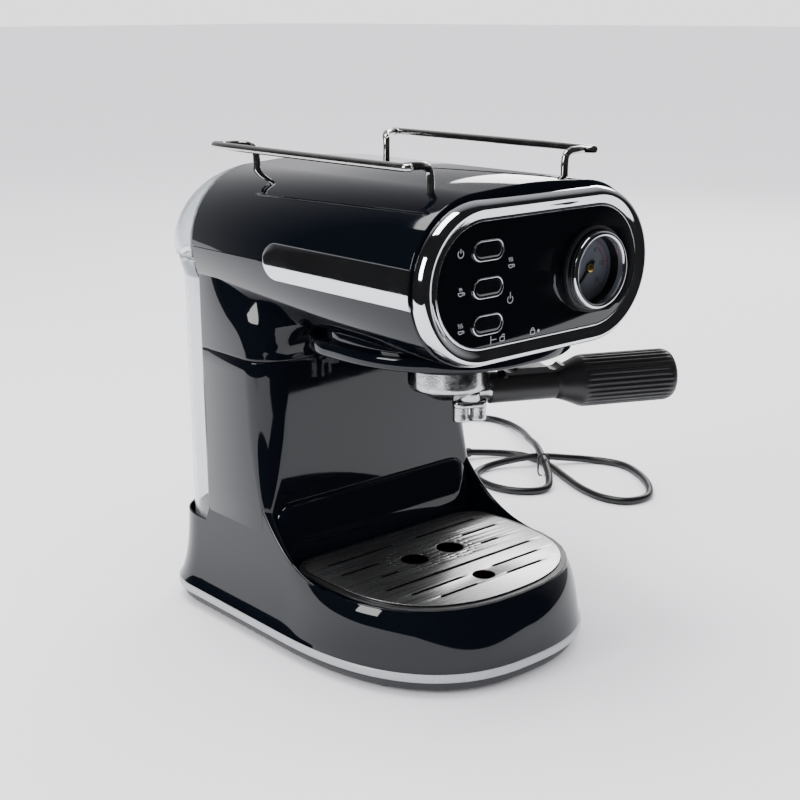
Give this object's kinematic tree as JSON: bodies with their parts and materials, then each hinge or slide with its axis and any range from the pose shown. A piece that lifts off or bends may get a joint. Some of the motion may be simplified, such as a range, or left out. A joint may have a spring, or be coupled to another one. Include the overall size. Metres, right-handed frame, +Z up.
{
  "type": "espresso machine",
  "caption": "Free-standing pump espresso machine with a round-ended head, pressure gauge, three push buttons, portafilter, drip tray, rear water tank, cup rails and mains lead.",
  "frame": {"origin": "on the table under the middle of the machine's bounding box, without the mains lead", "axes": "+X to the machine's right as its user faces it, +Y from the fascia to the tank, +Z up"},
  "size_m": [0.5198, 0.4996, 0.3488],
  "materials": {
    "plinth_plastic": "satin moulded",
    "silver_trim": "silver, smooth",
    "black_rubber": "matte",
    "zinc_steel": "zinc plated",
    "gloss_black": "piano black",
    "chrome_plate": "plated plastic",
    "panel_black": "gloss",
    "stainless_rod": "polished",
    "satin_black": "fine satin",
    "clear_glass": "clear",
    "dial_grey": "printed",
    "needle_black": "painted",
    "board_green": "solder mask",
    "cast_aluminium": "as cast",
    "brass_parts": "machined",
    "dark_casting": "dark coated casting",
    "pressed_steel": "pressed, bright",
    "pump_grey": "moulded",
    "silicone_hose": "milky silicone",
    "brushed_grille": "brushed along X",
    "float_red": "moulded",
    "tank_clear": "clear plastic",
    "valve_white": "moulded",
    "die_cast_chrome": "plated die casting",
    "cord_black": "satin PVC",
    "tie_black": "plastic-covered wire"
  },
  "bodies": {
    "housing": {"base_plate": "plinth_plastic", "base_trim": "silver_trim", "rubber_feet": "black_rubber", "base_screws": "zinc_steel", "lower_housing": "gloss_black", "upper_housing": "gloss_black", "top_cover": "gloss_black", "front_bezel": "chrome_plate", "control_panel": "panel_black", "strip_left": "chrome_plate", "strip_right": "chrome_plate", "head_underplate": "gloss_black", "cup_rail_left": "stainless_rod", "cup_rail_right": "stainless_rod", "rail_nuts": "zinc_steel", "button_frames": "chrome_plate", "gauge_case": "satin_black", "gauge_bezel": "chrome_plate", "gauge_glass": "clear_glass", "gauge_dial": "dial_grey", "control_board": "board_green", "boiler": "cast_aluminium", "thermostats": "brass_parts", "group_head": "dark_casting", "group_gasket": "black_rubber", "shower_screen": "pressed_steel", "pump": "pump_grey", "pump_mounts": "black_rubber", "hose_suction": "silicone_hose", "hose_pressure": "silicone_hose", "hose_steam": "silicone_hose", "steam_valve": "brass_parts", "drain_tube": "black_rubber", "tank_dock": "satin_black", "strain_relief": "cord_black", "power_cord": "cord_black", "cord_tie": "tie_black", "plug": "cord_black"},
    "needle": {"gauge_needle": "needle_black"},
    "power_button": {"button_power": "panel_black"},
    "brew_button": {"button_brew": "panel_black"},
    "steam_button": {"button_steam": "panel_black"},
    "knob": {"steam_knob": "satin_black"},
    "wand": {"steam_wand": "stainless_rod", "wand_sleeve": "satin_black"},
    "tray": {"drip_tray": "satin_black"},
    "grille": {"drip_grille": "brushed_grille"},
    "float": {"tray_float": "float_red"},
    "tank": {"water_tank": "tank_clear", "valve_spring": "zinc_steel"},
    "lid": {"tank_lid": "tank_clear"},
    "valve": {"tank_valve": "valve_white"},
    "portafilter": {"portafilter_body": "die_cast_chrome", "spout_block": "die_cast_chrome", "filter_basket": "pressed_steel", "handle_neck": "satin_black", "handle_grip": "satin_black"},
    "clip": {"basket_clip": "satin_black"}
  },
  "joints": [
    {"name": "pressure_needle", "type": "hinge", "parent": "housing", "child": "needle", "pos_m": [0.02212, -0.1463, 0.2746], "axis": [0, 1, 0], "range_deg": [0, 270], "stiffness_Nm_per_rad": 0.0004},
    {"name": "power_press", "type": "slide", "parent": "housing", "child": "power_button", "axis": [0, 1, 0], "range_m": [0, 0.0025], "stiffness_N_per_m": 400},
    {"name": "brew_press", "type": "slide", "parent": "housing", "child": "brew_button", "axis": [0, 1, 0], "range_m": [0, 0.0025], "stiffness_N_per_m": 400},
    {"name": "steam_press", "type": "slide", "parent": "housing", "child": "steam_button", "axis": [0, 1, 0], "range_m": [0, 0.0025], "stiffness_N_per_m": 400},
    {"name": "steam_knob_turn", "type": "hinge", "parent": "housing", "child": "knob", "pos_m": [0.08582, 0.0317, 0.277], "axis": [1, 0, 0], "range_deg": [0, 180]},
    {"name": "wand_swing", "type": "hinge", "parent": "housing", "child": "wand", "pos_m": [0.08432, 0.0497, 0.235], "axis": [1, 0, 0], "range_deg": [-80, 0]},
    {"name": "tray_lift", "type": "slide", "parent": "housing", "child": "tray", "axis": [0, 0, 1], "range_m": [0, 0.05]},
    {"name": "grille_lift", "type": "slide", "parent": "tray", "child": "grille", "axis": [0, 0, 1], "range_m": [0, 0.03]},
    {"name": "float_rise", "type": "slide", "parent": "tray", "child": "float", "axis": [0, 0, 1], "range_m": [0, 0.01]},
    {"name": "tank_lift", "type": "slide", "parent": "housing", "child": "tank", "axis": [0, 0, 1], "range_m": [0, 0.08]},
    {"name": "lid_hinge", "type": "hinge", "parent": "tank", "child": "lid", "pos_m": [-0.02418, 0.1481, 0.268], "axis": [1, 0, 0], "range_deg": [-75, 0]},
    {"name": "valve_open", "type": "slide", "parent": "tank", "child": "valve", "axis": [0, 0, 1], "range_m": [0, 0.003], "stiffness_N_per_m": 300, "deforming": ["valve_spring"]},
    {"name": "portafilter_turn", "type": "hinge", "parent": "housing", "child": "portafilter", "pos_m": [-0.02418, -0.0603, 0.2], "axis": [0, 0, 1], "range_deg": [-92, 0]},
    {"name": "clip_flip", "type": "hinge", "parent": "portafilter", "child": "clip", "pos_m": [0.01208, -0.0772, 0.192], "axis": [0.4226, 0.9063, 0], "range_deg": [-26, 0]}
  ]
}
